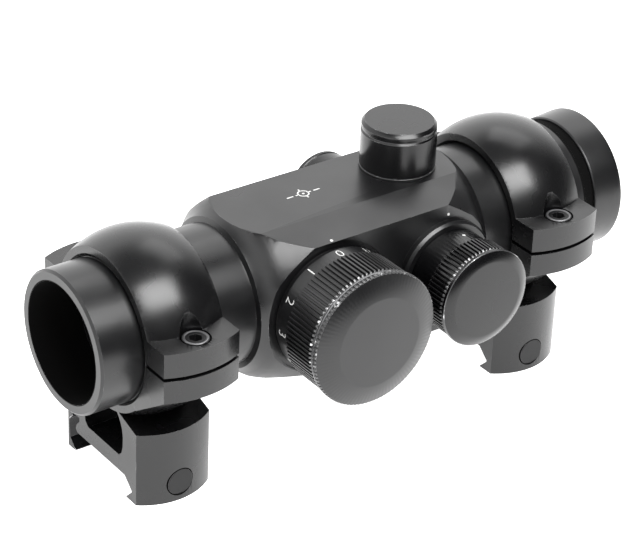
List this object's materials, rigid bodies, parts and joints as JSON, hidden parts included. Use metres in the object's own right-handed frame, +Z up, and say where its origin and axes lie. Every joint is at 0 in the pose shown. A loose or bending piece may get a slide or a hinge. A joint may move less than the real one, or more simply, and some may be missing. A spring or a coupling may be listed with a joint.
{
  "type": "red dot finder",
  "caption": "Unit-power red dot finder with a plain round tube, a numbered brightness dial, a pattern knob, capped adjusters and see-through dovetail ring bases.",
  "frame": {"origin": "on the top face of the rail, midway between the two rings, in the vertical plane of the optical axis", "axes": "+X along the optical axis from the objective end to the eyepiece end, +Y away from the dial side, +Z up"},
  "size_m": [0.1326, 0.0608, 0.0624],
  "materials": {
    "body_black": "satin black anodised",
    "ring_black": "satin black anodised",
    "gloss_black": "polished black anodised",
    "dark_steel": "black oxide",
    "bright_steel": "turned",
    "brass_parts": "turned",
    "rubber_seal": "matte",
    "circuit_board": "matte",
    "diode_red": "gloss",
    "clear_glass": "clear",
    "coated_glass": "partly reflecting red coating"
  },
  "bodies": {
    "root": {"housing": "body_black", "eyepiece_ring": "body_black", "rear_window": "clear_glass", "rear_window_seal": "rubber_seal", "rear_lock_ring": "body_black", "return_spring_rivets": "bright_steel", "return_spring": "bright_steel", "emitter_lead": "brass_parts", "elevation_bushing": "body_black", "windage_bushing": "body_black", "elevation_cap_seal": "rubber_seal", "windage_cap_seal": "rubber_seal", "dial_post": "brass_parts", "dial_clip": "bright_steel", "brightness_board": "circuit_board", "dial_click_ball": "bright_steel", "dial_click_spring": "bright_steel", "selector_bushing": "brass_parts", "selector_seal": "rubber_seal", "selector_board": "circuit_board", "front_ring_top": "ring_black", "front_ring_base": "ring_black", "front_clamp_bolt": "dark_steel", "front_ring_screws": "dark_steel", "rear_ring_top": "ring_black", "rear_ring_base": "ring_black", "rear_clamp_bolt": "dark_steel", "rear_ring_screws": "dark_steel"},
    "gimbal": {"gimbal_ring": "bright_steel", "gimbal_pins": "bright_steel"},
    "aiming_unit": {"inner_tube": "body_black", "objective_lens": "coated_glass", "lens_retainer": "body_black", "emitter_block": "body_black", "emitter_diode": "diode_red", "emitter_mask": "bright_steel"},
    "elevation_cap": {"elevation_cap": "gloss_black"},
    "elevation_drum": {"elevation_drum": "brass_parts"},
    "elevation_plunger": {"elevation_plunger": "bright_steel"},
    "windage_cap": {"windage_cap": "gloss_black"},
    "windage_drum": {"windage_drum": "brass_parts"},
    "windage_plunger": {"windage_plunger": "bright_steel"},
    "dial": {"dial": "body_black", "dial_wiper": "brass_parts", "battery": "bright_steel", "battery_contact": "brass_parts", "dial_post_seal": "rubber_seal"},
    "dial_cover": {"dial_cover": "body_black", "dial_cover_seal": "rubber_seal"},
    "selector": {"selector_knob": "gloss_black", "selector_wiper": "brass_parts", "selector_clip": "bright_steel"},
    "front_jaw": {"front_clamp_jaw": "ring_black"},
    "front_nut": {"front_clamp_nut": "dark_steel"},
    "rear_jaw": {"rear_clamp_jaw": "ring_black"},
    "rear_nut": {"rear_clamp_nut": "dark_steel"}
  },
  "joints": [
    {"name": "dial_turn", "type": "hinge", "parent": "root", "child": "dial", "pos_m": [-0.0112, -0.024, 0.03], "axis": [0, 1, 0], "range_deg": [0, 330]},
    {"name": "dial_cover_off", "type": "slide", "parent": "dial", "child": "dial_cover", "axis": [0, -1, 0], "range_m": [0, 0.012]},
    {"name": "selector_turn", "type": "hinge", "parent": "root", "child": "selector", "pos_m": [0.0174, -0.024, 0.03], "axis": [0, 1, 0], "range_deg": [0, 270]},
    {"name": "elevation_cap_off", "type": "slide", "parent": "root", "child": "elevation_cap", "axis": [0, 0, 1], "range_m": [0, 0.012]},
    {"name": "windage_cap_off", "type": "slide", "parent": "root", "child": "windage_cap", "axis": [0, 1, 0], "range_m": [0, 0.012]},
    {"name": "elevation_drum_turn", "type": "hinge", "parent": "root", "child": "elevation_drum", "pos_m": [0.0174, 0, 0.052], "axis": [0, 0, 1], "range_deg": [-577, 577]},
    {"name": "elevation_plunger_slide", "type": "slide", "parent": "root", "child": "elevation_plunger", "axis": [0, 0, 1], "range_m": [-0.0008, 0.0008]},
    {"name": "windage_drum_turn", "type": "hinge", "parent": "root", "child": "windage_drum", "pos_m": [0.0174, 0.022, 0.03], "axis": [0, 1, 0], "range_deg": [-577, 577]},
    {"name": "windage_plunger_slide", "type": "slide", "parent": "root", "child": "windage_plunger", "axis": [0, 1, 0], "range_m": [-0.0008, 0.0008]},
    {"name": "windage_swing", "type": "hinge", "parent": "root", "child": "gimbal", "pos_m": [-0.046, 0, 0.03], "axis": [0, 0, 1], "range_deg": [-0.74, 0.74]},
    {"name": "elevation_tilt", "type": "hinge", "parent": "gimbal", "child": "aiming_unit", "pos_m": [-0.046, 0, 0.03], "axis": [0, 1, 0], "range_deg": [-0.74, 0.74]},
    {"name": "front_jaw_slide", "type": "slide", "parent": "root", "child": "front_jaw", "axis": [0, -1, 0], "range_m": [0, 0.0024]},
    {"name": "front_nut_turn", "type": "hinge", "parent": "front_jaw", "child": "front_nut", "pos_m": [-0.04585, 0.0171, -0.0007], "axis": [0, -1, 0], "range_deg": [0, 1235]},
    {"name": "rear_jaw_slide", "type": "slide", "parent": "root", "child": "rear_jaw", "axis": [0, -1, 0], "range_m": [0, 0.0024]},
    {"name": "rear_nut_turn", "type": "hinge", "parent": "rear_jaw", "child": "rear_nut", "pos_m": [0.04585, 0.0171, -0.0007], "axis": [0, -1, 0], "range_deg": [0, 1235]}
  ],
  "couplings": [
    {"joint": "elevation_drum_turn", "follows": "elevation_plunger_slide", "rad_per_m": 12566},
    {"joint": "windage_drum_turn", "follows": "windage_plunger_slide", "rad_per_m": 12566},
    {"joint": "windage_swing", "follows": "windage_plunger_slide", "rad_per_m": 15.773},
    {"joint": "elevation_tilt", "follows": "elevation_plunger_slide", "rad_per_m": -15.773},
    {"joint": "front_nut_turn", "follows": "front_jaw_slide", "rad_per_m": 8976},
    {"joint": "rear_nut_turn", "follows": "rear_jaw_slide", "rad_per_m": 8976}
  ]
}
